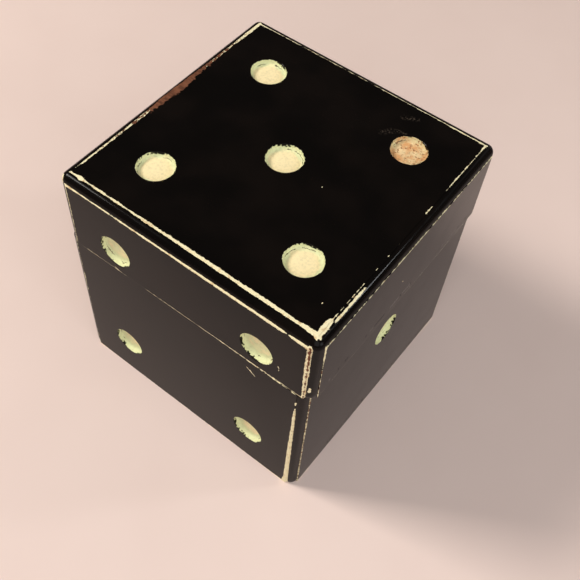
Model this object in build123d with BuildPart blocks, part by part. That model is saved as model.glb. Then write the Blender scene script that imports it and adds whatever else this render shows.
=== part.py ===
from build123d import *

import os

# A cube-shaped wooden box painted as a playing die: a deep base and a shallow lid on two brass hinges.
# Millimetres. +Z is up and the origin is the middle of the underside. The front is -Y and the right is +X.

os.makedirs("parts", exist_ok=True)

# ---- Driving dimensions ------------------------------------------------------------------------------
SIDE = 150.0  # length and width of the box
HEIGHT = 150.0  # floor to the top of the lid
SEAM = 102.0  # height of the parting line between base and lid
SEAM_GAP = 0.3  # daylight between the two rims when shut
WALL = 10.0  # thickness of the walls and of the top
FLOOR = 9.0  # thickness of the bottom, let in between the base walls

BEAD = 4.35  # radius of the quarter-round bead along the edges
STEP = 0.35  # depth of the small step on each side of the bead

PIP_RADIUS = 9.4
PIP_DEPTH = 2.8
PIP_ROUND = 2.2  # radius where the side of a pip turns into its floor
PIP_PITCH = 42.8  # middle of a face to its outer pips, across
PIP_HIGH = 117.0  # heights of the three rows of pips on the upright faces
PIP_MIDDLE = 74.3
PIP_LOW = 30.0
LONE_PIP_OFFSET = -2.5  # the single pip of the right face sits this far off its middle

LID_SHIFT_X = 2.2  # the lid is hung a little off the base, to the right and the front
LID_SHIFT_Y = -0.6
LID_SKEW = 0.75  # and turned this many degrees, seen from above

HINGE_PLACES = (("left", -45.0), ("right", 45.0))  # name and X of each hinge's middle
HINGE_LENGTH = 25.0
LEAF = 0.9  # thickness of a leaf
LEAF_DEPTH = 7.5  # how far a leaf reaches in over the rim
LEAF_SIDE_GAP = 0.1  # play round a leaf in its mortise
KNUCKLE_RADIUS = 1.9
KNUCKLE_COUNT = 5
KNUCKLE_GAP = 0.2
BARREL_STANDOFF = 0.3  # daylight between the barrel and the back of the box
PIN_RADIUS = 0.75
PIN_DOME = 0.45  # rounding of the pin's ends
PIN_OVERHANG = 0.6
TIGHT = 0.01  # radial play of the pin in the base leaf
RUNNING = 0.05  # radial play of the pin in the lid leaf

SCREW_PITCH = 7.5  # middle of the hinge to each screw
SCREW_SHANK = 0.8
SCREW_HEAD = 1.6
SCREW_LENGTH = 7.0
SCREW_PLAY = 0.03
SLOT_WIDTH = 0.45
SLOT_DEPTH = 0.35
SLOT_TURN = 35  # degrees

# ---- Worked out --------------------------------------------------------------------------------------
MARGIN = BEAD + STEP  # face's edge to where its flat ends
INNER = SIDE - 2 * WALL
BASE_RIM = SEAM - SEAM_GAP / 2
LID_RIM = SEAM + SEAM_GAP / 2
LID_WALL_TOP = HEIGHT - WALL
BARREL_Y = SIDE / 2 + KNUCKLE_RADIUS + BARREL_STANDOFF
LEAF_BACK = SIDE / 2  # where a leaf leaves the wood
LEAF_FRONT = LEAF_BACK - LEAF_DEPTH
SCREW_Y = (LEAF_FRONT + LEAF_BACK) / 2
KNUCKLE_LENGTH = (HINGE_LENGTH - (KNUCKLE_COUNT - 1) * KNUCKLE_GAP) / KNUCKLE_COUNT
FAR = SIDE  # reach of a cutter that only has to clear the box
ON_LEVEL = 0.01  # how near a level an edge counts as lying on it

BASE_FRAME = Plane.XY
LID_FRAME = Plane(origin=(LID_SHIFT_X, LID_SHIFT_Y, 0), z_dir=(0, 0, 1)).rotated((0, 0, LID_SKEW))


def save(builder, name):
    """Labels a finished piece and writes it as its own file."""
    builder.part.label = name
    export_step(builder.part, f"parts/{name}.step")


def cut_pips(face, places):
    """Sinks the round, flat-floored pips into the part that is being built, at places on a face."""
    with BuildSketch(face) as mouths:
        with Locations(*places):
            Circle(PIP_RADIUS)
    extrude(mouths.sketch, amount=-PIP_DEPTH, mode=Mode.SUBTRACT)
    floor = face.offset(-PIP_DEPTH)
    rims = edges().filter_by(GeomType.CIRCLE).filter_by(
        lambda edge: abs(floor.to_local_coords(edge.center()).Z) < ON_LEVEL
    )
    fillet(rims, radius=PIP_ROUND)


def beaded_square():
    """Adds the plan of the box to the sketch: a square whose corners are stepped quarter rounds."""
    RectangleRounded(SIDE - 2 * STEP, SIDE - 2 * STEP, BEAD)
    Rectangle(SIDE, SIDE - 2 * MARGIN)
    Rectangle(SIDE - 2 * MARGIN, SIDE)


def outer_face(frame):
    """The outer face of the wall on the front of a frame, with its local Y up from the floor."""
    return Plane(origin=frame.origin - frame.y_dir * (SIDE / 2), x_dir=frame.x_dir, z_dir=-frame.y_dir)


def make_wall(name, frame, turn, bottom, top, pips, mortises=()):
    """One mitred wall. turn is 0 for the front, 90 for the right, 180 for the back, 270 for the left."""
    home = frame.rotated((0, 0, turn))
    with BuildPart() as wall:
        with BuildSketch(home.offset(bottom)):
            beaded_square()
            Rectangle(INNER, INNER, mode=Mode.SUBTRACT)
            Polygon((0, 0), (-SIDE, -SIDE), (SIDE, -SIDE), align=None, mode=Mode.INTERSECT)
        extrude(amount=top - bottom)
        if pips:
            cut_pips(outer_face(home), pips)
        for mortise in mortises:
            cut_mortise(*mortise)
    save(wall, name)


def cut_mortise(middle, rim, into):
    """Lets a leaf's seat and its two screw holes into a rim. into is 1 if the wood is above the rim."""
    with BuildSketch(Plane.XY.offset(rim)) as seat:
        with Locations((middle, LEAF_FRONT - LEAF_SIDE_GAP)):
            Rectangle(HINGE_LENGTH + 2 * LEAF_SIDE_GAP, FAR, align=(Align.CENTER, Align.MIN))
    extrude(seat.sketch, amount=into * LEAF, mode=Mode.SUBTRACT)
    with BuildSketch(Plane.XY.offset(rim)) as holes:
        with Locations((middle - SCREW_PITCH, SCREW_Y), (middle + SCREW_PITCH, SCREW_Y)):
            Circle(SCREW_SHANK + SCREW_PLAY)
    extrude(holes.sketch, amount=into * SCREW_LENGTH, mode=Mode.SUBTRACT)


# ---- Base --------------------------------------------------------------------------------------------
base_mortises = [(middle, BASE_RIM, -1) for _, middle in HINGE_PLACES]
make_wall(
    "base_front_wall", BASE_FRAME, 0, 0, BASE_RIM,
    [(-PIP_PITCH, PIP_LOW), (PIP_PITCH, PIP_LOW)],
)
make_wall("base_right_wall", BASE_FRAME, 90, 0, BASE_RIM, [(LONE_PIP_OFFSET, PIP_MIDDLE)])
make_wall(
    "base_back_wall", BASE_FRAME, 180, 0, BASE_RIM,
    [(0, PIP_MIDDLE), (PIP_PITCH, PIP_LOW)], base_mortises,
)
make_wall(
    "base_left_wall", BASE_FRAME, 270, 0, BASE_RIM,
    [(x, z) for x in (-PIP_PITCH, PIP_PITCH) for z in (PIP_LOW, PIP_MIDDLE)],
)

with BuildPart() as base_bottom_panel:
    with BuildSketch(Plane.XY):
        Rectangle(INNER, INNER)
    extrude(amount=FLOOR)
    cut_pips(Plane.XY.rotated((180, 0, 0)), [(-PIP_PITCH, -PIP_PITCH), (PIP_PITCH, PIP_PITCH)])
save(base_bottom_panel, "base_bottom_panel")

# ---- Lid ---------------------------------------------------------------------------------------------
lid_mortises = [(middle, LID_RIM, 1) for _, middle in HINGE_PLACES]
make_wall(
    "lid_front_wall", LID_FRAME, 0, LID_RIM, LID_WALL_TOP,
    [(-PIP_PITCH, PIP_HIGH), (PIP_PITCH, PIP_HIGH)],
)
make_wall("lid_right_wall", LID_FRAME, 90, LID_RIM, LID_WALL_TOP, [])
make_wall(
    "lid_back_wall", LID_FRAME, 180, LID_RIM, LID_WALL_TOP,
    [(-PIP_PITCH, PIP_HIGH)], lid_mortises,
)
make_wall(
    "lid_left_wall", LID_FRAME, 270, LID_RIM, LID_WALL_TOP,
    [(-PIP_PITCH, PIP_HIGH), (PIP_PITCH, PIP_HIGH)],
)

with BuildPart() as lid_top_panel:
    # The rounded core, then a slab for each pair of flats that stands proud of it by the step.
    with BuildSketch(LID_FRAME.offset(LID_WALL_TOP)):
        RectangleRounded(SIDE - 2 * STEP, SIDE - 2 * STEP, BEAD)
    extrude(amount=WALL - STEP)
    fillet(faces().sort_by(Axis.Z)[-1].edges(), radius=BEAD)
    with BuildSketch(LID_FRAME.offset(LID_WALL_TOP)):
        Rectangle(SIDE, SIDE - 2 * MARGIN)
        Rectangle(SIDE - 2 * MARGIN, SIDE)
    extrude(amount=WALL - MARGIN)
    with BuildSketch(LID_FRAME.offset(LID_WALL_TOP)):
        Rectangle(SIDE - 2 * MARGIN, SIDE - 2 * MARGIN)
    extrude(amount=WALL)
    cut_pips(
        LID_FRAME.offset(HEIGHT),
        [(0, 0)] + [(x, y) for x in (-PIP_PITCH, PIP_PITCH) for y in (-PIP_PITCH, PIP_PITCH)],
    )
save(lid_top_panel, "lid_top_panel")


# ---- Hinges ------------------------------------------------------------------------------------------
def knuckle_starts(middle, first):
    """X where each of a leaf's knuckles starts: every second knuckle of the barrel, from the first."""
    left = middle - HINGE_LENGTH / 2
    return [left + index * (KNUCKLE_LENGTH + KNUCKLE_GAP) for index in range(first, KNUCKLE_COUNT, 2)]


def make_leaf(name, middle, low, first, play, head_up):
    """A leaf with its knuckles. low is the underside of its plate, and head_up says which side is sunk."""
    barrel = Plane.YZ.offset(middle - HINGE_LENGTH / 2)
    starts = knuckle_starts(middle, first)
    with BuildPart() as leaf:
        with BuildSketch(Plane.XY.offset(low)):
            with Locations((middle, LEAF_FRONT)):
                Rectangle(HINGE_LENGTH, LEAF_DEPTH, align=(Align.CENTER, Align.MIN))
            for start in starts:
                with Locations((start, LEAF_FRONT)):
                    Rectangle(KNUCKLE_LENGTH, BARREL_Y - LEAF_FRONT, align=(Align.MIN, Align.MIN))
        extrude(amount=LEAF)
        for start in starts:
            with BuildSketch(Plane.YZ.offset(start)):
                with Locations((BARREL_Y, SEAM)):
                    Circle(KNUCKLE_RADIUS)
            extrude(amount=KNUCKLE_LENGTH)
        with BuildSketch(barrel):
            with Locations((BARREL_Y, SEAM)):
                Circle(PIN_RADIUS + play)
        extrude(amount=HINGE_LENGTH, mode=Mode.SUBTRACT)
        seat = Plane.XY.offset(low + LEAF) if head_up else Plane.XY.offset(low).rotated((180, 0, 0))
        for x in (middle - SCREW_PITCH, middle + SCREW_PITCH):
            with Locations(seat.location * Location((x, SCREW_Y if head_up else -SCREW_Y, 0))):
                CounterSinkHole(SCREW_SHANK + SCREW_PLAY, SCREW_HEAD + SCREW_PLAY, depth=LEAF)
    save(leaf, name)


def make_screws(name, top, down):
    """The four countersunk screws of one row of leaves. down is 1 if they point down from top."""
    places = [
        (middle + offset, SCREW_Y) for _, middle in HINGE_PLACES for offset in (-SCREW_PITCH, SCREW_PITCH)
    ]
    with BuildPart() as screws:
        with BuildSketch(Plane.XY.offset(top)):
            with Locations(*places):
                Circle(SCREW_HEAD)
        extrude(amount=-down * (SCREW_HEAD - SCREW_SHANK), taper=45)
        with BuildSketch(Plane.XY.offset(top)):
            with Locations(*places):
                Circle(SCREW_SHANK)
        extrude(amount=-down * SCREW_LENGTH)
        with BuildSketch(Plane.XY.offset(top)):
            with Locations(*places):
                Rectangle(2 * SCREW_HEAD, SLOT_WIDTH, rotation=SLOT_TURN)
        extrude(amount=-down * SLOT_DEPTH, mode=Mode.SUBTRACT)
    save(screws, name)


def make_pin(name, middle):
    """The hinge's pin, with domed ends that stand a little out of the barrel."""
    length = HINGE_LENGTH + 2 * PIN_OVERHANG
    with BuildPart() as pin:
        with BuildSketch(Plane.YZ.offset(middle - length / 2)):
            with Locations((BARREL_Y, SEAM)):
                Circle(PIN_RADIUS)
        extrude(amount=length)
        fillet(edges().filter_by(GeomType.CIRCLE), radius=PIN_DOME)
    save(pin, name)


for side_name, middle in HINGE_PLACES:
    make_leaf(f"{side_name}_hinge_base_leaf", middle, BASE_RIM - LEAF, 0, TIGHT, True)
    make_leaf(f"{side_name}_hinge_lid_leaf", middle, LID_RIM, 1, RUNNING, False)
    make_pin(f"{side_name}_hinge_pin", middle)

make_screws("base_hinge_screws", BASE_RIM, 1)
make_screws("lid_hinge_screws", LID_RIM, -1)
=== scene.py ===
"""Looks of the die box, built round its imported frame: lacquered panels with worn edges and painted pips.

Metres, in the frame of the CAD. +Z is up, the front is -Y and the right is +X.
"""
import math

import bmesh
import bpy
import numpy as np
from mathutils import Matrix, Vector, geometry, noise


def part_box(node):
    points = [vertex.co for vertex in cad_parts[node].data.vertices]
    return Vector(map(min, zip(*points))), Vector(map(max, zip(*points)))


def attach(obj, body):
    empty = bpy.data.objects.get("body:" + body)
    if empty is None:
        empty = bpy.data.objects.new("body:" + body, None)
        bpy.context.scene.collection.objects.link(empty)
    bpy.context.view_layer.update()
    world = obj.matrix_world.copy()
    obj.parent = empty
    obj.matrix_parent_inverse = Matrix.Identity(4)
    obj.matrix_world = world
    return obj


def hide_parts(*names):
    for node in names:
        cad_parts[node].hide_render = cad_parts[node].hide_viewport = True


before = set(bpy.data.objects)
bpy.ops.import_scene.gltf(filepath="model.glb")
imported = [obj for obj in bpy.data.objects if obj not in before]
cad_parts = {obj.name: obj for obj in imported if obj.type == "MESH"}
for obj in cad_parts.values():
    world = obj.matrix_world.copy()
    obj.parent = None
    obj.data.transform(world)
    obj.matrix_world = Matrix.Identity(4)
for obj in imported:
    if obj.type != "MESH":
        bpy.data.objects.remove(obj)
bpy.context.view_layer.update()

MM = 0.001

# ---- Sizes from the frame ----------------------------------------------------------------------------
BASE_LOW, BASE_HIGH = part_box("base_front_wall")
FLOOR_LOW, FLOOR_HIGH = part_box("base_bottom_panel")
LID_LOW, LID_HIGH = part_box("lid_top_panel")
HALF = -BASE_LOW.y  # middle of the box to a face
INNER = FLOOR_HIGH.x  # middle of the box to the inside of a wall
FLOOR = FLOOR_HIGH.z
BASE_RIM = BASE_HIGH.z
LID_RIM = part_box("lid_front_wall")[0].z
LID_WALL_TOP = LID_LOW.z
TOP = LID_HIGH.z
HINGE_NAMES = ("left_hinge_base_leaf", "right_hinge_base_leaf")
HINGES = [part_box(name) for name in HINGE_NAMES]

# ---- Sizes that part.py has too ----------------------------------------------------------------------
BEAD = 4.35 * MM
STEP = 0.35 * MM
FLAT = HALF - BEAD - STEP  # middle of a face to where its flat ends
PIP_RADIUS = 9.4 * MM
PIP_DEPTH = 2.8 * MM
PIP_ROUND = 2.2 * MM
PIP_PITCH = 42.8 * MM
PIP_HIGH, PIP_MIDDLE, PIP_LOW = 117.0 * MM, 74.3 * MM, 30.0 * MM
LEAF = 0.9 * MM  # thickness of a hinge's leaf
LID_SKEW = 0.75  # degrees
LONE_PIP_OFFSET = -2.5 * MM  # of the right side's pip, from the side's middle towards the front
LEAF_SIDE_GAP = 0.1 * MM  # play round a leaf in its mortise

LID_SIDE_GAP = 0.2 * MM  # the same in the lid: more, because the lid is turned a little
BASE_PLACE = Matrix.Identity(4)
LID_MIDDLE = (LID_LOW + LID_HIGH) / 2
LID_TURN = Matrix.Rotation(math.radians(LID_SKEW), 4, "Z")
LID_PLACE = Matrix.Translation((LID_MIDDLE.x, LID_MIDDLE.y, 0)) @ LID_TURN

# ---- Fineness of the meshes --------------------------------------------------------------------------
ROWS = [0, 0.3 * MM, 0.8 * MM, 1.6 * MM, 3.0 * MM, 5.5 * MM]  # rows of points, by distance from an edge
EDGE_PITCH = 0.8 * MM
ARC_STEPS = 6  # to 45 degrees
PIP_POINTS = 72  # round it
PIP_ARC_STEPS = 8  # from its wall to its floor
PIP_UNEVEN = 0.12 * MM  # height of the unevenness of its dish
PIP_BORDER = 1.2 * MM  # width of the ring of flat mesh round a pip
PIP_WALL = 0.2 * MM  # by which a pip's wall leans in
RIM_SHARES = [0.03, 0.08, 0.16, 0.3, 0.5, 0.7, 0.84, 0.92, 0.97]  # rows across a rim, from outside in
BEAD_NOSE = 2.6 * MM  # rounding of an upright bead's lower end
BEAD_EASE = 0.8 * MM  # and of its upper end, under the lid
SHARP = math.radians(28)
CLOSE = 0.01 * MM  # lengths this near to each other count as equal
MERGE = 0.002 * MM  # points this near to each other become one


# ---- Paint: where it is worn ---------------------------------------------------------------------------
# A run of wear is a list of (share of the edge's length, width in mm), where the paint is whole below zero.
# A run alone, or the first of several, is worn down to the cream undercoat. The last of several is worn
# down to the wood.
NO_WOOD = [(0, -2), (1, -2)]
FAINT = [(0, 0.25), (0.2, 0.1), (0.45, 0.3), (0.7, 0.0), (1, 0.3)]
# The edges of the lid's top, by side, from left to right: the flat's edge to the undercoat, the side's edge
# to the undercoat, and the flat's edge to the wood.
TOP_WEAR = {
    "front": (
        [
            (0, 0.5), (0.03, 0.5), (0.045, 1.5), (0.06, 0.4), (0.3, 0.5), (0.42, 0.8), (0.6, 0.95),
            (0.93, 0.95), (1, 1.7),
        ],
        [(0, 0.9), (0.05, 0.45), (0.3, 0.5), (0.42, 0.8), (0.9, 1.1), (0.915, -0.2), (0.93, 1.0), (1, 1.1)],
        NO_WOOD,
    ),
    "right": (
        [
            (0, 1.7), (0.05, 1.9), (0.065, 1.6), (0.08, 0.1), (0.24, 0.2), (0.25, -0.6), (0.3, -0.4),
            (0.31, 0.2), (0.32, -0.5), (0.37, -0.4), (0.375, 0.3), (0.385, -0.5), (0.43, -0.4),
            (0.435, 0.2), (0.445, -0.5), (0.59, -0.6), (0.6, 0.5), (0.64, 0.45), (0.65, -0.6),
            (0.72, -0.4), (0.73, 0.2), (0.8, 0.3), (0.85, 0.1), (0.95, 0.25), (1, 0.7),
        ],
        [(0, 0.35), (0.1, 0.2), (0.5, 0.15), (0.8, 0.2), (1, 0.3)],
        NO_WOOD,
    ),
    "back": (
        [(0, 0.9), (0.12, 0.6), (0.3, 0.4), (0.5, 0.15), (0.7, 0.3), (0.9, 0.4), (1, 0.8)],
        FAINT,
        NO_WOOD,
    ),
    "left": (
        [
            (0, 1.2), (0.12, 1.3), (0.16, 0.7), (0.25, 0.8), (0.6, 0.9), (0.66, 1.1), (0.75, 0.9),
            (0.94, 0.7), (0.97, -0.2), (1, -0.2),
        ],
        [(0, 0.3), (0.3, 0.5), (0.6, 0.4), (0.97, 0.3), (1, 1.2)],
        [
            (0, -1), (0.1, -0.1), (0.17, 0.4), (0.26, 0.9), (0.33, 1.6), (0.4, 2.3), (0.49, 2.8),
            (0.57, 2.3), (0.62, 1.4), (0.66, 0.7), (0.75, 0.45), (0.86, 0.1), (0.9, -0.6), (1, -1),
        ],
    ),
}
GLINT_LINE_TURN = math.radians(20)  # over the bead of the lid's right edge, to a broken cream line along it: painted highlight where the bead catches light, as well as wear
# a broken cream line along the right bead: painted highlight, drawn as worn-through lacquer
GLINT_AND_WEAR_DASHES = [
    (0, -1), (0.05, 0.2), (0.06, -0.3), (0.08, 0.5), (0.14, 0.8), (0.2, 0.7), (0.235, 0.5), (0.245, -0.6),
    (0.83, -0.8), (0.85, 0.1), (0.88, -0.4), (0.9, 0.1), (0.93, -0.5), (1, -1),
]
BEAD_SIDE = 1.7  # distances on the bead's side of an edge count this much, so that less of it wears
CHIP_LEAST = 0.05  # mm that a worn arris is rounded down
CHIP_PER_WIDTH = 0.16  # and this much more for each mm of the wear's width,
CHIP_WIDEST = 1.5  # up to this width
FAR_OUTSIDE = -9.0  # a paint field's value, in mm, where nothing is near
PIP_REACH = 40 * MM  # beyond a pip's rim, the stretch where its own field counts
PAINT_SHORT = 0.12  # mm that the paint in a pip ends short of its rim
PAINT_WAVES = ((2, 0.12, 1), (5, 0.1, 2))  # of its edge: how many, height in mm, share of phase
PIP_SIDE_SHADE = {"top": 0.05, "front": 0.6, "right": 0.7, "back": 0.5, "left": 0.5, "bottom": 0.5}  # how much painted shade, greener and darker, the pips of each side get; the top, lit most, gets least
SIDES = ("front", "right", "back", "left")
TURNS = {"front": 0, "right": 90, "back": 180, "left": 270}


def run_width(run, share):
    """Width of a run of wear at a share of its edge's length, in mm."""
    return np.interp(share, [s for s, _ in run], [w for _, w in run])


# ---- Mesh helpers --------------------------------------------------------------------------------------
def steps(low, high, pitch):
    """Evenly spaced values from low to high, about pitch apart."""
    count = max(1, round((high - low) / pitch))
    return [low + (high - low) * i / count for i in range(count + 1)]


def edge_steps(low, high, pitch):
    """steps(), with the closer rows that each end needs."""
    middle = steps(low + ROWS[-1], high - ROWS[-1], pitch)
    return [low + r for r in ROWS[:-1]] + middle + [high - r for r in reversed(ROWS[:-1])]


def wobble(point, size, seed):
    """Smooth noise from -1 to 1 at a point, with features of a given size."""
    return noise.noise(Vector(point) / size + Vector((seed * 7.3, seed * 3.1, seed * 1.7)))


def pip_profile():
    """(radius, depth) from the flat round a pip to its middle."""
    rings = [(PIP_RADIUS + PIP_BORDER, 0), (PIP_RADIUS, 0), (PIP_RADIUS - 0.12 * MM, 0.1 * MM)]
    rings += [(PIP_RADIUS - PIP_WALL, PIP_DEPTH - PIP_ROUND)]
    corner = PIP_RADIUS - PIP_ROUND
    for i in range(1, PIP_ARC_STEPS + 1):
        a = math.pi / 2 * i / PIP_ARC_STEPS
        radius = corner + (PIP_ROUND - PIP_WALL) * math.cos(a)
        rings.append((radius, PIP_DEPTH - PIP_ROUND * (1 - math.sin(a))))
    return rings + [(corner * share, PIP_DEPTH) for share in (0.8, 0.6, 0.4, 0.2)]


def sink_pip(bm, place, middle, seed):
    """Makes a pip's dish below a face and returns its rim, as vertices in order."""
    rims = []
    for radius, depth in pip_profile():
        ring = []
        for i in range(PIP_POINTS):
            a = 2 * math.pi * i / PIP_POINTS
            spot = (middle[0] + radius * math.cos(a), middle[1] + radius * math.sin(a))
            uneven = PIP_UNEVEN * wobble((spot[0], spot[1], depth), 4 * MM, seed)
            reach = min(1, depth / PIP_ROUND)
            ring.append(bm.verts.new(place(*spot, depth + uneven * reach)))
        rims.append(ring)
    for outer, inner in zip(rims, rims[1:]):
        for i in range(PIP_POINTS):
            j = (i + 1) % PIP_POINTS
            bm.faces.new((outer[i], outer[j], inner[j], inner[i]))
    bm.faces.new(rims[-1])
    return rims[0]


def fill_flat(bm, outline, flat_of, place, pips):
    """Fills the flat inside an outline of vertices and sinks its pips.

    flat_of turns a vertex into its two places in the flat. place turns those and a depth into a point.
    """
    loops = [outline] + [sink_pip(bm, place, middle, seed) for seed, middle in enumerate(pips)]
    lines = [[Vector((*flat_of(v), 0)) for v in loop] for loop in loops]
    corners = [v for loop in loops for v in loop]
    for triangle in geometry.tessellate_polygon(lines):
        bm.faces.new([corners[i] for i in triangle])


def finish_mesh(bm, name, place, lines, pips, face_axis):
    """Tidies a panel's mesh, wears its edges, writes its paint fields and puts it in place.

    face_axis gives the points' places in the flat and their depths below it.
    """
    bmesh.ops.remove_doubles(bm, verts=bm.verts, dist=MERGE)
    bmesh.ops.dissolve_degenerate(bm, edges=bm.edges, dist=MERGE / 2)
    bmesh.ops.recalc_face_normals(bm, faces=bm.faces)
    mesh = bpy.data.meshes.new(name)
    bm.to_mesh(mesh)
    bm.free()
    points = np.array([v.co for v in mesh.vertices])
    lacquer, wood = wear_fields(points, lines)
    pip, rub, steep = pip_fields(points, pips, face_axis)
    # side_shade: how much painted shade, greener and darker, this side's pips get. With steep it paints
    # shade in the pips; rub is real wear.
    side_shade = np.full(len(points), PIP_SIDE_SHADE[name.split("_")[1]])
    chip(mesh, points, lines)
    write_vectors(mesh, "film", np.stack([lacquer, wood, pip], 1))
    write_vectors(mesh, "rub_and_shade", np.stack([rub, steep, side_shade], 1))
    mesh.transform(place)
    mesh.shade_smooth()
    mesh.set_sharp_from_angle(angle=SHARP)
    piece = bpy.data.objects.new(name, mesh)
    bpy.context.scene.collection.objects.link(piece)
    return piece


def write_vectors(mesh, name, values):
    """Stores three numbers a vertex on a mesh, for its materials to read."""
    layer = mesh.attributes.new(name, "FLOAT_VECTOR", "POINT")
    layer.data.foreach_set("vector", values.astype(np.float32).ravel())


def wear_fields(points, lines):
    """How far inside the worn stretch each point is, in mm, for the lacquer and for the undercoat."""
    lacquer = np.full(len(points), FAR_OUTSIDE)
    wood = np.full(len(points), FAR_OUTSIDE)
    for start, end, outward, run, wood_run in lines:
        a, b, out = np.array(start), np.array(end), np.array(outward)
        along = b - a
        length = np.linalg.norm(along)
        share = np.clip((points - a) @ along / length**2, 0, 1)
        away = points - (a + share[:, None] * along)
        past = away @ out > CLOSE
        distance = np.linalg.norm(away, axis=1) / MM * np.where(past, BEAD_SIDE, 1.0)
        lacquer = np.maximum(lacquer, run_width(run, share) - distance)
        wood = np.maximum(wood, run_width(wood_run, share) - distance)
    return lacquer, wood


def chip(mesh, points, lines):
    """Wears the edges themselves: where the lacquer is gone, the arris is rounded over unevenly."""
    for start, end, outward, run, _ in lines:
        a, b = np.array(start), np.array(end)
        along = b - a
        length = np.linalg.norm(along)
        share = (points - a) @ along / length**2
        away = points - (a + share[:, None] * along)
        on_line = (np.linalg.norm(away, axis=1) < 2 * CLOSE) & (share > -0.001) & (share < 1.001)
        for i in np.nonzero(on_line)[0]:
            width = max(0.0, float(run_width(run, share[i])))
            depth = (CHIP_LEAST + CHIP_PER_WIDTH * min(CHIP_WIDEST, width)) * MM
            uneven = 0.5 + 0.5 * wobble(points[i], 2.2 * MM, 3) + 0.5 * wobble(points[i], 7 * MM, 5)
            mesh.vertices[i].co -= Vector(outward) * depth * max(0.0, uneven)


def pip_fields(points, pips, face_axis):
    """For each point: how far inside a pip's paint it is, in mm, how rubbed the paint is, and how steep,
    which sets the painted shade on a pip's walls.

    A pip is its middle in the flat and, if it is rubbed, how much.
    """
    field = np.full(len(points), FAR_OUTSIDE)
    rub = np.zeros(len(points))
    steep = np.zeros(len(points))
    flat, depth = face_axis(points)
    for seed, middle in enumerate(pips):
        away = flat - np.array(middle[:2])
        radius = np.linalg.norm(away, axis=1)
        angle = np.arctan2(away[:, 1], away[:, 0])
        phase = 1.9 * seed + 40 * middle[0]  # any number that differs from pip to pip
        uneven = sum(high * np.sin(count * angle + turns * phase) for count, high, turns in PAINT_WAVES)
        edge = PIP_RADIUS / MM - PAINT_SHORT + uneven
        near = (depth < PIP_DEPTH + MM) & (radius < PIP_RADIUS + PIP_REACH)
        field = np.where(near, np.maximum(field, edge - radius / MM), field)
        inside = radius < PIP_RADIUS + MM
        steep = np.where(inside, np.interp(radius / PIP_RADIUS, (0.6, 0.95), (0, 1)), steep)
        if len(middle) > 2:
            rub = np.where(inside, middle[2], rub)
    return field, rub, steep


# ---- Panels --------------------------------------------------------------------------------------------
def wall_columns(mortises):
    """(x, y, sunk) of each column of a wall's outside, from its left mitre to its right one.

    Those of a mortise are sunk, and its two ends have a column of each kind.
    """
    arc = [math.radians(225 + 45 * i / ARC_STEPS) for i in range(ARC_STEPS + 1)]
    left = [(-FLAT + BEAD * math.cos(a), -FLAT + BEAD * math.sin(a), False) for a in arc]
    right = [(-x, y, False) for x, y, _ in reversed(left)]
    face = []
    for x in edge_steps(-FLAT, FLAT, EDGE_PITCH):
        inside = any(low - CLOSE <= x <= high + CLOSE for low, high in mortises)
        if not inside:
            face.append((x, -HALF, False))
    for low, high in mortises:
        face += [(low, -HALF, False), (high, -HALF, False)]
        face += [(x, -HALF, True) for x in steps(low, high, EDGE_PITCH)]
    return left + ordered(face, mortises) + right


def ordered(face, mortises):
    """Columns from left to right; at a mortise's ends, the sunk column is on the mortise's side."""
    lows = {round(low, 6) for low, _ in mortises}

    def key(column):
        x, _, sunk = column
        first = (not sunk) if round(x, 6) in lows else sunk
        return (round(x, 6), 0 if first else 1)

    return sorted(face, key=key)


def bead_fit(distance, rounding):
    """How full the bead is at a distance from its end, which is rounded over."""
    if distance >= rounding:
        return 1.0
    return 1 - rounding / BEAD * (1 - math.sqrt(1 - (1 - max(distance, 0) / rounding) ** 2))


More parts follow.
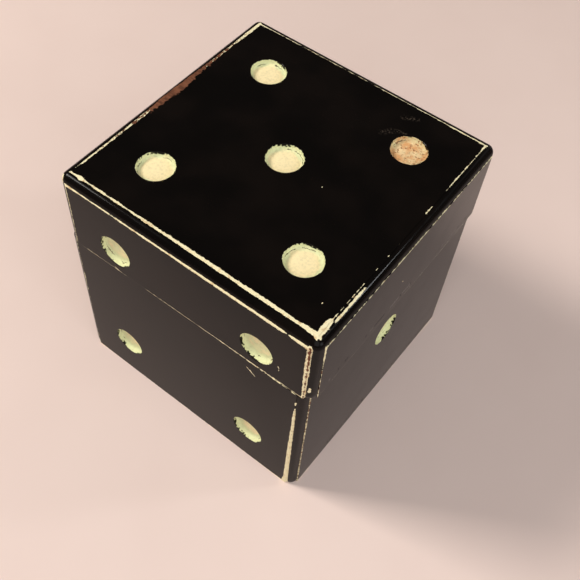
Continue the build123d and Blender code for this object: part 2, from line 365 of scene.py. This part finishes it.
def make_wall(name, side, place, low, high, pips, mortises=(), rim_at=None, seat=0.0):
    """One mitred wall, made as the front wall is and turned to its side.

    rim_at is the height of the rim that has mortises, and seat is how far they reach into the wall.
    """
    columns = wall_columns(mortises)
    heights = edge_steps(low, high, EDGE_PITCH)
    inner_heights = [high - r for r in ROWS] + [low + r for r in reversed(ROWS)]
    seat_share = seat / (HALF - INNER)
    into = 1 if rim_at == low else -1

    def rim(height):
        rows = [(share, height, height == rim_at and share < seat_share) for share in RIM_SHARES]
        if height == rim_at:
            rows += [(seat_share, height, True), (seat_share, height, False)]
            rows.sort(key=lambda row: (row[0], not row[2]))
        return rows

    loop = [(0, z, True) for z in heights] + rim(high)
    loop += [(1, z, False) for z in inner_heights] + rim(low)[::-1]
    mitre = abs(columns[0][0])
    bm = bmesh.new()
    grid = {}

    def vertex(c, k):
        key = (c, k % len(loop))
        if key not in grid:
            x, y, sunk = columns[c]
            share, z, lowered = loop[key[1]]
            if sunk and lowered and rim_at is not None:
                z = max(z, rim_at + LEAF) if into > 0 else min(z, rim_at - LEAF)
            inside = (x * INNER / mitre, -INNER)
            if abs(x) > FLAT:
                fit = bead_fit(z - low, BEAD_NOSE) * (bead_fit(high - z, BEAD_EASE) if low == 0 else 1)
                x = math.copysign(FLAT + (abs(x) - FLAT) * fit, x)
                y = -FLAT + (y + FLAT) * fit
            grid[key] = bm.verts.new((x + (inside[0] - x) * share, y + (inside[1] - y) * share, z))
        return grid[key]

    first = next(i for i, c in enumerate(columns) if c[0] >= -FLAT + ROWS[-1] - CLOSE)
    last = len(columns) - 1 - first
    bottom, top = len(ROWS) - 1, len(heights) - len(ROWS)
    for c in range(len(columns) - 1):
        for k in range(len(loop)):
            if not (first <= c < last and bottom <= k < top):
                bm.faces.new((vertex(c, k), vertex(c, k + 1), vertex(c + 1, k + 1), vertex(c + 1, k)))
    for c in (0, len(columns) - 1):
        bm.faces.new([vertex(c, k) for k in range(len(loop))])
    outline = [vertex(c, bottom) for c in range(first, last)]
    outline += [vertex(last, k) for k in range(bottom, top)]
    outline += [vertex(c, top) for c in range(last, first, -1)]
    outline += [vertex(first, k) for k in range(top, bottom, -1)]
    fill_flat(bm, outline, lambda v: (v.co.x, v.co.z), lambda u, v, d: (u, -HALF + d, v), pips)
    turn = place @ Matrix.Rotation(math.radians(TURNS[side]), 4, "Z")
    lines = wall_lines(side, low, high)
    piece = finish_mesh(bm, name, turn, lines, pips, lambda p: (p[:, [0, 2]], p[:, 1] + HALF))
    paint_inside(piece, turn, lambda c, n: n.y > 0.5 and c.y > -INNER - MM)
    return piece


def paint_inside(piece, place, is_inside):
    """Gives a panel lacquer, and undercoat on the faces that is_inside picks.

    is_inside takes a face's centre and normal in the panel's own frame.
    """
    piece.data.materials.append(MATERIALS["lacquer"])
    piece.data.materials.append(MATERIALS["undercoat"])
    back = place.inverted()
    spin = back.to_3x3()
    for face in piece.data.polygons:
        if is_inside(back @ face.center, spin @ face.normal):
            face.material_index = 1


OUT_LEFT = Vector((-1, -1, 0)).normalized()
OUT_RIGHT = Vector((1, -1, 0)).normalized()
OUT_UP = Vector((0, -1, 1)).normalized()
OUT_DOWN = Vector((0, -1, -1)).normalized()
UPRIGHT_WEAR = {  # by side, part and arris, from the part's bottom to its top
    ("front", "base", "right"): (
        [
            (0, 2.4), (0.04, 2.2), (0.07, 1.8), (0.3, 1.5), (0.6, 1.1), (0.8, 0.7), (0.87, 0.4),
            (0.885, -1.4), (0.905, 0.5), (0.925, 0.5), (0.94, -1.4), (0.955, 0.4), (0.965, 0.4),
            (0.98, -1.4),
        ],
        [(0, -0.5), (0.3, -0.4), (0.6, -0.5), (1, -1)],
    ),
    ("front", "lid", "right"): (
        [(0, 1.3), (0.2, 1.4), (0.6, 1.7), (1, 1.6)],
        [(0, 0.3), (0.3, 0.4), (0.7, 0.5), (0.9, 0.7), (1, 1.0)],
    ),
    ("right", "base", "left"): ([(0, 0.5), (0.3, 0.35), (0.7, 0.45), (1, 0.3)], [(0, 0.05), (1, 0.2)]),
    ("right", "lid", "left"): (
        [(0, 0.3), (0.3, 0.1), (0.6, 0.2), (0.9, 0.4), (1, 0.9)],
        [(0, -0.2), (0.7, -0.1), (1, -1)],
    ),
    ("front", "base", "left"): ([(0, 0.1), (0.5, -0.1), (0.7, 0.5), (0.72, -0.1), (1, 0.3)], NO_WOOD),
    ("front", "lid", "left"): ([(0, 0.2), (0.5, 0.4), (1, 0.5)], NO_WOOD),
}
SEAM_WEAR = {  # by part and side, along the rim's outer edge
    ("lid", "front"): [
        (0, -0.6), (0.05, 0.1), (0.22, 0.25), (0.26, -0.5), (0.3, -0.4), (0.33, 0.3), (0.6, 0.4),
        (0.8, 0.5), (1, 0.65),
    ],
    ("base", "front"): [(0, -0.6), (0.33, -0.4), (0.4, 0.1), (0.9, 0.25), (1, 0.1)],
}
BEAD_CHIP = math.radians(30)  # round the bead at the lid's front right corner, to a chip in it
BEAD_CHIP_ENDS = (8 * MM, 11 * MM)  # above the rim
BEAD_CHIP_WEAR = [(0, 1.2), (1, 0.6)]
SEAM_FAINT = [(0, 0.1), (0.3, -0.3), (0.6, 0.0), (1, 0.1)]
FOOT_FAINT = [(0, 0.5), (0.2, 0.0), (0.6, 0.1), (0.9, 0.2), (1, 0.6)]


def wall_lines(side, low, high):
    """The worn edges of a wall in its own frame: uprights, rim, and the base's foot or the bead's chip."""
    part = "base" if low < BASE_RIM / 2 else "lid"
    far = high if part == "base" else TOP - BEAD - STEP
    lines = []
    for which, x, out in (("left", -FLAT, OUT_LEFT), ("right", FLAT, OUT_RIGHT)):
        run, wood_run = UPRIGHT_WEAR.get((side, part, which), (FAINT, NO_WOOD))
        lines.append(((x, -HALF, low), (x, -HALF, far), out, run, wood_run))
    seam = high if part == "base" else low
    run = SEAM_WEAR.get((part, side), SEAM_FAINT)
    out = OUT_UP if part == "base" else OUT_DOWN
    lines.append(((-FLAT, -HALF, seam), (FLAT, -HALF, seam), out, run, NO_WOOD))
    if part == "base":
        lines.append(((-FLAT, -HALF, low), (FLAT, -HALF, low), OUT_DOWN, FOOT_FAINT, NO_WOOD))
    elif side == "front":
        x, y = FLAT + BEAD * math.sin(BEAD_CHIP), -FLAT - BEAD * math.cos(BEAD_CHIP)
        bottom, top = ((x, y, low + rise) for rise in BEAD_CHIP_ENDS)
        lines.append((bottom, top, OUT_RIGHT, BEAD_CHIP_WEAR, NO_WOOD))
    return lines


def make_top():
    """The lid's top: a flat with five pips, stepped quarter-round beads and ball corners."""
    name = "lid_top_lacquered"
    bm = bmesh.new()
    rings = [(-r, TOP) for r in reversed(ROWS)] + [(0, TOP - STEP)]
    shoulder = TOP - STEP - BEAD
    arc = [math.pi / 4 * i / ARC_STEPS for i in range(1, 2 * ARC_STEPS + 1)]
    rings += [(BEAD * math.sin(a), shoulder + BEAD * math.cos(a)) for a in arc]
    sides = [(STEP + BEAD, shoulder - r) for r in ROWS[:4]] + [(STEP + BEAD, LID_WALL_TOP)]
    stations = []
    for turn in range(4):
        spin = Matrix.Rotation(math.pi / 2 * turn, 3, "Z")
        stations += [(spin, x, 0.0, STEP) for x in edge_steps(-FLAT, FLAT, EDGE_PITCH)]
        stations += [(spin, FLAT, math.pi / 2 * i / (2 * ARC_STEPS), 0.0) for i in range(2 * ARC_STEPS + 1)]

    def spot(station, ring):
        spin, x, angle, step = station
        d, z = ring
        if d > BEAD + CLOSE:
            d = BEAD + step
        shrink = (FLAT + min(d, 0)) / FLAT
        reach = max(d, 0)
        across = x * shrink + reach * math.sin(angle)
        return spin @ Vector((across, -FLAT * shrink - reach * math.cos(angle), z))

    rows = [[bm.verts.new(spot(s, ring)) for ring in rings + sides] for s in stations]
    for i, row in enumerate(rows):
        after = rows[(i + 1) % len(rows)]
        for k in range(len(row) - 1):
            bm.faces.new((row[k], after[k], after[k + 1], row[k + 1]))
    bm.faces.new([row[-1] for row in rows])
    outline = [row[0] for row, s in zip(rows, stations) if s[2] == 0.0 and s[1] < FLAT - CLOSE]
    spots = [(0, 0)] + [(x, y) for x in (-PIP_PITCH, PIP_PITCH) for y in (-PIP_PITCH, PIP_PITCH)]
    spots[-1] = (*spots[-1], 1.0)  # the back right one is rubbed to an orange brown
    fill_flat(bm, outline, lambda v: (v.co.x, v.co.y), lambda u, v, d: (u, v, TOP - d), spots)
    lines = top_lines(shoulder)
    piece = finish_mesh(bm, name, LID_PLACE, lines, spots, lambda p: (p[:, :2], TOP - p[:, 2]))
    paint_inside(piece, LID_PLACE, lambda c, n: n.z < -0.5 and c.z < LID_WALL_TOP + MM)
    return piece


def top_lines(shoulder):
    """The worn edges of the lid's top: two along each side, the right bead's line of painted highlight and
    wear, and the uprights below.
    """
    lines = []
    for side in SIDES:
        spin = Matrix.Rotation(math.radians(TURNS[side]), 3, "Z")
        flat_run, side_run, wood_run = TOP_WEAR[side]
        out = spin @ OUT_UP
        ends = [spin @ Vector((x, -FLAT, TOP)) for x in (-FLAT, FLAT)]
        lines.append((*ends, out, flat_run, wood_run))
        ends = [spin @ Vector((x, -HALF, shoulder)) for x in (-FLAT, FLAT)]
        lines.append((*ends, out, side_run, NO_WOOD))
        # the right bead's broken cream line is painted highlight where the bead catches light, mixed with
        # wear
        if side == "right":
            reach, rise = BEAD * math.sin(GLINT_LINE_TURN), BEAD * math.cos(GLINT_LINE_TURN)
            ends = [spin @ Vector((x, -FLAT - reach, shoulder + rise)) for x in (-FLAT, FLAT)]
            lines.append((*ends, out, GLINT_AND_WEAR_DASHES, NO_WOOD))
        for which, x, upright_out in (("left", -FLAT, OUT_LEFT), ("right", FLAT, OUT_RIGHT)):
            run, upright_wood = UPRIGHT_WEAR.get((side, "lid", which), (FAINT, NO_WOOD))
            ends = [spin @ Vector((x, -HALF, z)) for z in (LID_RIM, shoulder)]
            lines.append((*ends, spin @ upright_out, run, upright_wood))
    return lines


def make_bottom():
    """The base's bottom, let in between its walls, with two pips underneath."""
    bm = bmesh.new()
    edge = steps(-INNER, INNER, 5 * MM)[:-1]
    square = [(x, -INNER) for x in edge] + [(INNER, y) for y in edge]
    square += [(-x, INNER) for x in edge] + [(-INNER, -y) for y in edge]
    low = [bm.verts.new((x, y, 0)) for x, y in square]
    high = [bm.verts.new((x, y, FLOOR)) for x, y in square]
    for i in range(len(square)):
        j = (i + 1) % len(square)
        bm.faces.new((low[i], low[j], high[j], high[i]))
    bm.faces.new(high)
    spots = [(-PIP_PITCH, PIP_PITCH), (PIP_PITCH, -PIP_PITCH)]
    fill_flat(bm, low, lambda v: (v.co.x, v.co.y), lambda u, v, d: (u, v, d), spots)
    piece = finish_mesh(bm, "base_bottom_lacquered", BASE_PLACE, [], spots, lambda p: (p[:, :2], p[:, 2]))
    paint_inside(piece, BASE_PLACE, lambda c, n: n.z > 0.5 and c.z > FLOOR - MM)
    return piece


# ---- Materials -----------------------------------------------------------------------------------------
class Tree:
    """A material's nodes, made by short calls that return sockets."""

    def __init__(self, name):
        self.material = bpy.data.materials.new(name)
        self.material.use_nodes = True
        self.nodes = self.material.node_tree.nodes
        self.links = self.material.node_tree.links
        self.shader = self.nodes["Principled BSDF"]
        self.place = self.nodes.new("ShaderNodeTexCoord").outputs["Object"]

    def set(self, socket, value):
        if isinstance(value, bpy.types.NodeSocket):
            self.links.new(value, socket)
        else:
            socket.default_value = value

    def math(self, operation, a, b=0.0, clamp=False):
        """clamp keeps the result from 0 to 1."""
        node = self.nodes.new("ShaderNodeMath")
        node.operation = operation
        node.use_clamp = clamp
        self.set(node.inputs[0], a)
        self.set(node.inputs[1], b)
        return node.outputs[0]

    def highest(self, values):
        """The highest of some values at each point."""
        top = values[0]
        for value in values[1:]:
            top = self.math("MAXIMUM", top, value)
        return top

    def vector(self, operation, a, b=(0, 0, 0)):
        """b is a number, not a vector, when the operation is SCALE."""
        node = self.nodes.new("ShaderNodeVectorMath")
        node.operation = operation
        self.set(node.inputs[0], a)
        self.set(node.inputs[3 if operation == "SCALE" else 1], b)
        return node.outputs["Value" if operation in ("DOT_PRODUCT", "LENGTH") else "Vector"]

    def line_distance(self, start, end):
        """Distance in mm from the straight line between two points, which are in mm too."""
        a, b = Vector(start) * MM, Vector(end) * MM
        along = b - a
        away = self.vector("SUBTRACT", self.place, a)
        share = self.vector("DOT_PRODUCT", away, along / along.length_squared)
        share = self.math("ADD", share, 0.0, True)
        beside = self.vector("SUBTRACT", away, self.vector("SCALE", along, share))
        return self.math("MULTIPLY", self.vector("LENGTH", beside), 1 / MM)

    def noise(self, size, detail=2.0, rough=0.5, stretch=None):
        """Noise with features of a size in metres, about 0.5."""
        node = self.nodes.new("ShaderNodeTexNoise")
        node.inputs["Scale"].default_value = 1 / size
        node.inputs["Detail"].default_value = detail
        node.inputs["Roughness"].default_value = rough
        place = self.vector("MULTIPLY", self.place, stretch) if stretch else self.place
        self.links.new(place, node.inputs["Vector"])
        return node.outputs["Fac"]

    def spread(self, size, detail, rough, span):
        """Noise about 0, with a given span."""
        return self.math("MULTIPLY", self.math("SUBTRACT", self.noise(size, detail, rough), 0.5), span)

    def ramp(self, value, low, high):
        """0 below low, 1 above high, smooth between."""
        node = self.nodes.new("ShaderNodeMapRange")
        node.interpolation_type = "SMOOTHSTEP"
        self.set(node.inputs["Value"], value)
        node.inputs["From Min"].default_value = low
        node.inputs["From Max"].default_value = high
        return node.outputs["Result"]

    def mix(self, share, a, b):
        """From colour a to colour b."""
        node = self.nodes.new("ShaderNodeMix")
        node.data_type = "RGBA"
        self.set(node.inputs["Factor"], share)
        self.set(node.inputs["A"], colour(a))
        self.set(node.inputs["B"], colour(b))
        return node.outputs["Result"]

    def blend(self, share, a, b):
        """From number a to number b."""
        node = self.nodes.new("ShaderNodeMix")
        self.set(node.inputs["Factor"], share)
        self.set(node.inputs["A"], a)
        self.set(node.inputs["B"], b)
        return node.outputs["Result"]

    def field(self, name):
        """The three numbers that the mesh stores under a name."""
        attribute = self.nodes.new("ShaderNodeAttribute")
        attribute.attribute_name = name
        split = self.nodes.new("ShaderNodeSeparateXYZ")
        self.links.new(attribute.outputs["Vector"], split.inputs[0])
        return split.outputs

    def bump(self, height, distance, strength=1.0, under=None):
        """A normal for a height, on top of another bump's."""
        node = self.nodes.new("ShaderNodeBump")
        node.inputs["Distance"].default_value = distance
        node.inputs["Strength"].default_value = strength
        self.set(node.inputs["Height"], height)
        if under is not None:
            self.links.new(under, node.inputs["Normal"])
        return node.outputs["Normal"]


def colour(value):
    """A socket as it is, or an sRGB colour from 0 to 255 as the linear colour that Blender takes."""
    if isinstance(value, bpy.types.NodeSocket):
        return value
    shares = [c / 255 for c in value]
    return (*[s / 12.92 if s <= 0.04045 else ((s + 0.055) / 1.055) ** 2.4 for s in shares], 1.0)


CREAM = (232, 222, 182)  # the undercoat where it shows at the edges
CREAM_DARK = (206, 178, 132)
THIN_CREAM = (226, 206, 160)  # the undercoat inside the box
THIN_CREAM_DARK = (206, 180, 130)
THIN_CREAM_STREAK = (178, 138, 92)
WOOD = (122, 78, 56)
WOOD_DARK = (78, 48, 34)
PIP_CREAM = (242, 224, 176)
# the pip cream as painted shade, greener and darker, for steep pip walls and for the pips on the side faces
PIP_SHADED_GREEN = (216, 220, 172)
BLACK = (10, 8, 7)
BLACK_WARM = (16, 12, 10)
SCUFF = (96, 84, 72)
RUBBED = (208, 144, 88)
RUBBED_SPECK = (140, 84, 48)
CRACK = (74, 62, 46)
PIP_MOTTLE = (176, 168, 126)
LACQUER_IOR = 1.17  # low, because the photo's lacquer mirrors little of what is round it

# Small marks in the lacquer, as (start, end, half width) in mm in the CAD's frame. Nicks show the undercoat
# and scuffs dull the gloss.
NICKS = [
    ((-70, -74.5, 147.5), (-69.5, -75.5, 145.5), 1.2),
    ((65, -56, 150), (65, -55.5, 150), 0.2),
    ((26.5, -4, 150), (26.5, -3.5, 150), 0.15),
    ((41, -75, 95.5), (46, -75, 92), 0.2),
    ((43, -75, 94.5), (44, -75, 93.5), 0.35),
    ((58.5, -75, 115), (59, -75, 114), 0.3),
    ((59, -75, 112.5), (59, -75, 112), 0.25),
    ((-41.5, -76, 103.5), (-39, -76, 102.5), 0.3),
    ((77.2, -4, 121), (77.2, -3.5, 120.5), 0.25),
    ((-75, -31, 58), (-75, -28.5, 57), 0.2),
    ((12, 75, 88), (15.5, 75, 86), 0.2),
    ((-33, 75, 22), (-32, 75, 24), 0.25),
]
SCUFFS = [
    ((27.5, 44, 150), (31, 48.5, 150), 2.4),
    ((33, 50, 150), (37, 50.5, 150), 1.4),
    ((30, 60, 150), (36, 63, 150), 2.0),
]


def pip_colour(t, inside, rub_and_shade, brush):
    """A pip's hand-painted cream, cracked in places and brown where rubbed; greener and darker on its steep
    walls and on the side faces, which is painted shade.
    """
    # painted shade: steep pip walls, and the pips of the side faces, shift towards the greener, darker
    # cream; the noise adds real patchiness in the paint
    shade_and_patches = t.math("ADD", rub_and_shade[1], t.spread(5 * MM, 2.0, 0.5, 1.5))
    paint = t.mix(t.ramp(t.math("ADD", shade_and_patches, rub_and_shade[2]), 0.3, 1.0), PIP_CREAM, PIP_SHADED_GREEN)
    blotch = t.blend(t.ramp(t.noise(4.5 * MM, 3.0, 0.6), 0.4, 0.62), 0.3, 0.85)
    paint = t.mix(t.math("MULTIPLY", rub_and_shade[0], blotch), paint, RUBBED)
    speck = t.ramp(t.math("MULTIPLY", t.noise(1.6 * MM, 4.0, 0.7), rub_and_shade[0]), 0.54, 0.62)
    paint = t.mix(speck, paint, RUBBED_SPECK)
    ring = t.math("SUBTRACT", t.math("MULTIPLY", brush, 1.3), 0.75)
    crack_line = t.math("ABSOLUTE", t.math("ADD", inside, ring))
    crack_here = t.ramp(t.noise(6 * MM, 1.0), 0.5, 0.56)
    paint = t.mix(t.math("MULTIPLY", t.ramp(crack_line, 0.16, 0.06), crack_here), paint, CRACK)
    mottle = t.ramp(t.noise(1.3 * MM, 4.0, 0.7), 0.42, 0.68)
    return t.mix(t.math("MULTIPLY", mottle, 0.3), paint, PIP_MOTTLE)


def make_lacquer():
    """Black gloss lacquer over cream undercoat over wood, with cream paint in the pips."""
    t = Tree("black_lacquer")
    film, rub_and_shade = t.field("film"), t.field("rub_and_shade")
    ragged = t.spread(1.6 * MM, 3.0, 0.6, 1.5)
    broad = t.spread(7 * MM, 2.0, 0.5, 1.0)
    nicks = [t.math("SUBTRACT", width, t.line_distance(start, end)) for start, end, width in NICKS]
    scuffs = [t.math("DIVIDE", t.line_distance(start, end), -width) for start, end, width in SCUFFS]
    scuffed = t.math("ADD", t.highest(scuffs), 1.0, True)
    scuffed = t.math("MULTIPLY", scuffed, t.ramp(t.noise(0.9 * MM, 4.0, 0.7), 0.5, 0.62))
    worn = t.math("ADD", film[0], t.math("ADD", ragged, broad))
    nicked = t.math("ADD", t.highest(nicks), t.math("MULTIPLY", ragged, 0.15))
    lacquer_gone = t.ramp(t.math("MAXIMUM", worn, nicked), -0.06, 0.06)
    teeth = t.spread(2.2 * MM, 3.0, 0.65, 5.0)
    coat_gone = t.ramp(t.math("ADD", film[1], teeth), -0.08, 0.08)
    brush = t.spread(1.3 * MM, 2.0, 0.5, 0.9)
    in_pip = t.ramp(t.math("ADD", film[2], brush), -0.06, 0.06)

    grain = t.noise(1.2 * MM, 3.0, 0.6, (0.12, 1.0, 1.0))
    wood = t.mix(t.ramp(grain, 0.35, 0.68), WOOD, WOOD_DARK)
    cream = t.mix(t.ramp(t.noise(2.5 * MM, 3.0), 0.5, 0.75), CREAM, CREAM_DARK)
    black = t.mix(t.ramp(t.noise(30 * MM, 2.0), 0.35, 0.7), BLACK, BLACK_WARM)
    black = t.mix(t.math("MULTIPLY", scuffed, 0.5), black, SCUFF)
    shown = t.mix(lacquer_gone, black, cream)
    shown = t.mix(coat_gone, shown, wood)
    shown = t.mix(in_pip, shown, pip_colour(t, film[2], rub_and_shade, brush))
    t.set(t.shader.inputs["Base Color"], shown)

    smear = t.ramp(t.noise(16 * MM, 3.0), 0.3, 0.75)
    gloss = t.blend(smear, 0.1, 0.17)
    gloss = t.blend(t.math("MULTIPLY", scuffed, 0.6), gloss, 0.5)
    gloss = t.blend(lacquer_gone, gloss, 0.5)
    gloss = t.blend(coat_gone, gloss, 0.7)
    t.set(t.shader.inputs["Roughness"], t.blend(in_pip, gloss, 0.55))
    t.shader.inputs["IOR"].default_value = LACQUER_IOR

    flow = t.bump(t.noise(9 * MM, 1.0), 0.02 * MM, 0.5)
    depth = t.math("ADD", lacquer_gone, t.math("MULTIPLY", coat_gone, 1.5))
    chipped = t.bump(t.math("MULTIPLY", depth, -1.0), 0.12 * MM, 0.7, flow)
    strokes = t.math("MULTIPLY", t.noise(1.0 * MM, 3.0, 0.6), t.math("ADD", in_pip, lacquer_gone, True))
    t.set(t.shader.inputs["Normal"], t.bump(strokes, 0.22 * MM, 0.7, chipped))
    return t.material


def make_undercoat():
    """The cream undercoat inside, brushed thinly over the wood."""
    t = Tree("cream_undercoat")
    streak = t.noise(1.0 * MM, 3.0, 0.6, (0.08, 0.5, 0.5))
    body = t.mix(t.ramp(t.noise(22 * MM, 3.0), 0.35, 0.7), THIN_CREAM, THIN_CREAM_DARK)
    body = t.mix(t.ramp(streak, 0.55, 0.8), body, THIN_CREAM_STREAK)
    t.set(t.shader.inputs["Base Color"], body)
    t.set(t.shader.inputs["Roughness"], t.blend(streak, 0.45, 0.7))
    t.set(t.shader.inputs["Normal"], t.bump(streak, 0.1 * MM, 0.5))
    return t.material


def make_metal(name, bright, dull, rough):
    """Aged metal with tarnish and fine draw lines."""
    t = Tree(name)
    tarnish = t.ramp(t.noise(3 * MM, 4.0, 0.6), 0.42, 0.7)
    t.set(t.shader.inputs["Base Color"], t.mix(tarnish, bright, dull))
    t.shader.inputs["Metallic"].default_value = 1.0
    lines = t.noise(0.25 * MM, 2.0, 0.5, (0.05, 1.0, 1.0))
    t.set(t.shader.inputs["Roughness"], t.blend(tarnish, rough, rough + 0.25))
    t.set(t.shader.inputs["Normal"], t.bump(lines, 0.02 * MM, 0.4))
    return t.material


MATERIALS = {
    "lacquer": make_lacquer(),
    "undercoat": make_undercoat(),
    "brass": make_metal("aged_brass", (212, 172, 98), (140, 100, 54), 0.28),
    "steel": make_metal("plain_steel", (190, 186, 178), (120, 112, 104), 0.3),
    "screw": make_metal("screw_brass", (222, 186, 112), (150, 110, 62), 0.25),
}


# ---- The object ----------------------------------------------------------------------------------------
def keep(piece, body, node):
    """Puts a wooden piece on its body, in place of its CAD node."""
    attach(piece, body)
    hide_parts(node)


def seats(play):
    """(low, high) along the base's back wall, seen from behind, of each leaf's mortise."""
    return [(-hi.x - play, -lo.x + play) for lo, hi in reversed(HINGES)]


def build_box():
    """All ten wooden pieces."""
    seat_depth = HALF - HINGES[0][0].y + LEAF_SIDE_GAP
    both = [(-PIP_PITCH, PIP_LOW), (PIP_PITCH, PIP_LOW)]
    high = [(-PIP_PITCH, PIP_HIGH), (PIP_PITCH, PIP_HIGH)]
    base_pips = {
        "front": both,
        "right": [(LONE_PIP_OFFSET, PIP_MIDDLE)],
        "back": [(0, PIP_MIDDLE), (PIP_PITCH, PIP_LOW)],
        "left": [(x, z) for x in (-PIP_PITCH, PIP_PITCH) for z in (PIP_LOW, PIP_MIDDLE)],
    }
    lid_pips = {"front": high, "right": [], "back": high[:1], "left": high}
    shift = LID_PLACE.translation.x
    for side in SIDES:
        cut = seats(LEAF_SIDE_GAP) if side == "back" else []
        rim_at = BASE_RIM if cut else None
        name, pips = f"base_{side}_lacquered", base_pips[side]
        wall = make_wall(name, side, BASE_PLACE, 0.0, BASE_RIM, pips, cut, rim_at, seat_depth)
        keep(wall, "base", f"base_{side}_wall")
        cut = [(low + shift, up + shift) for low, up in seats(LID_SIDE_GAP)] if side == "back" else []
        rim_at = LID_RIM if cut else None
        name, pips = f"lid_{side}_lacquered", lid_pips[side]
        wall = make_wall(name, side, LID_PLACE, LID_RIM, LID_WALL_TOP, pips, cut, rim_at, seat_depth)
        keep(wall, "lid", f"lid_{side}_wall")
    keep(make_top(), "lid", "lid_top_panel")
    keep(make_bottom(), "base", "base_bottom_panel")


def dress_metal():
    """Gives the hinges, pins and screws their metals."""
    for name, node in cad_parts.items():
        if "leaf" in name or "pin" in name or "screws" in name:
            kind = "screw" if "screws" in name else "steel" if name.endswith("pin") else "brass"
            node.data.materials.clear()
            node.data.materials.append(MATERIALS[kind])


# ---- Stage ---------------------------------------------------------------------------------------------
FLOOR_REACH = 3.2  # from the middle to the wall
COVE = 0.9  # radius of the curve between the floor and the wall
COVE_TOP = 1.3
FLOOR_SIDES = 96
PALE = (226, 205, 195)
PALE_DARK = (221, 199, 189)
SKY = (1.0, 0.95, 0.92, 1.0)
SKY_STRENGTH = 0.07
LIT_POINT = (0, 0, 0.05)  # low in the box


def make_floor():
    """A plain pale floor, round, that curves up into a low wall."""
    bm = bmesh.new()
    middle = bm.verts.new((0, 0, 0))
    flat = FLOOR_REACH - COVE
    cove = [(flat + COVE * math.sin(a), COVE - COVE * math.cos(a)) for a in steps(0, math.pi / 2, 0.1)]
    rings = []
    for reach, height in cove + [(FLOOR_REACH, COVE_TOP)]:
        turns = [2 * math.pi * i / FLOOR_SIDES for i in range(FLOOR_SIDES)]
        rings.append([bm.verts.new((reach * math.cos(a), reach * math.sin(a), height)) for a in turns])
    for i in range(FLOOR_SIDES):
        j = (i + 1) % FLOOR_SIDES
        bm.faces.new((middle, rings[0][i], rings[0][j]))
        for inner, outer in zip(rings, rings[1:]):
            bm.faces.new((inner[i], outer[i], outer[j], inner[j]))
    mesh = bpy.data.meshes.new("floor")
    bm.to_mesh(mesh)
    bm.free()
    mesh.shade_smooth()
    floor = bpy.data.objects.new("floor", mesh)
    bpy.context.scene.collection.objects.link(floor)
    t = Tree("pale_floor")
    t.set(t.shader.inputs["Base Color"], t.mix(t.noise(60 * MM, 2.0), PALE, PALE_DARK))
    t.shader.inputs["Roughness"].default_value = 0.8
    mesh.materials.append(t.material)


def area_light(name, place, size, power, tint):
    """A soft square light at a place, aimed at the box."""
    data = bpy.data.lights.new(name, "AREA")
    data.size = size
    data.energy = power
    data.color = tint
    light = bpy.data.objects.new(name, data)
    bpy.context.scene.collection.objects.link(light)
    light.location = place
    light.rotation_mode = "QUATERNION"
    light.rotation_quaternion = (Vector(LIT_POINT) - Vector(place)).to_track_quat("-Z", "Y")


def light_stage():
    """Soft studio light: a key from the left, weaker lights from all round, a small glint and a dim sky."""
    world = bpy.data.worlds.new("studio")
    world.use_nodes = True
    sky = world.node_tree.nodes["Background"]
    sky.inputs["Color"].default_value = SKY
    sky.inputs["Strength"].default_value = SKY_STRENGTH
    bpy.context.scene.world = world
    bpy.context.scene.view_settings.view_transform = "Standard"
    area_light("key", (-1.1, -0.5, 1.25), size=0.45, power=24, tint=(1.0, 0.95, 0.9))
    area_light("fill", (0.6, -1.0, 1.1), size=1.4, power=13, tint=(0.98, 0.98, 1.0))
    area_light("side", (1.4, -0.1, 0.7), size=0.8, power=7, tint=(0.95, 0.98, 1.0))
    area_light("back", (0.3, 1.5, 0.7), size=1.2, power=3, tint=(1.0, 0.97, 0.95))
    area_light("glint", (0.9, 0.8, 1.1), size=0.15, power=2.5, tint=(0.96, 0.98, 1.0))


CAMERA_PLACE = (0.1624, -0.2319, 0.4441)
CAMERA_AZIMUTH = math.radians(32.93)  # from the front towards the right
CAMERA_ELEVATION = math.radians(55.02)
CAMERA_ROLL = math.radians(5.82)
CAMERA_LENS = 52.8  # mm, over a sensor 36 mm wide


def make_camera():
    """The camera, turned a little about its own axis."""
    azimuth, elevation, roll = CAMERA_AZIMUTH, CAMERA_ELEVATION, CAMERA_ROLL
    level_reach = math.cos(elevation)
    back = Vector((math.sin(azimuth) * level_reach, -math.cos(azimuth) * level_reach, math.sin(elevation)))
    level = Vector((0, 0, 1)).cross(back).normalized()
    up = back.cross(level)
    right = level * math.cos(roll) + up * math.sin(roll)
    top = up * math.cos(roll) - level * math.sin(roll)
    data = bpy.data.cameras.new("camera")
    data.sensor_width = 36
    data.lens = CAMERA_LENS
    data.clip_start = 0.01
    camera = bpy.data.objects.new("camera", data)
    bpy.context.scene.collection.objects.link(camera)
    turn = Matrix((right, top, back)).transposed().to_4x4()
    camera.matrix_world = Matrix.Translation(CAMERA_PLACE) @ turn
    bpy.context.scene.camera = camera


make_camera()
make_floor()
light_stage()
build_box()
dress_metal()
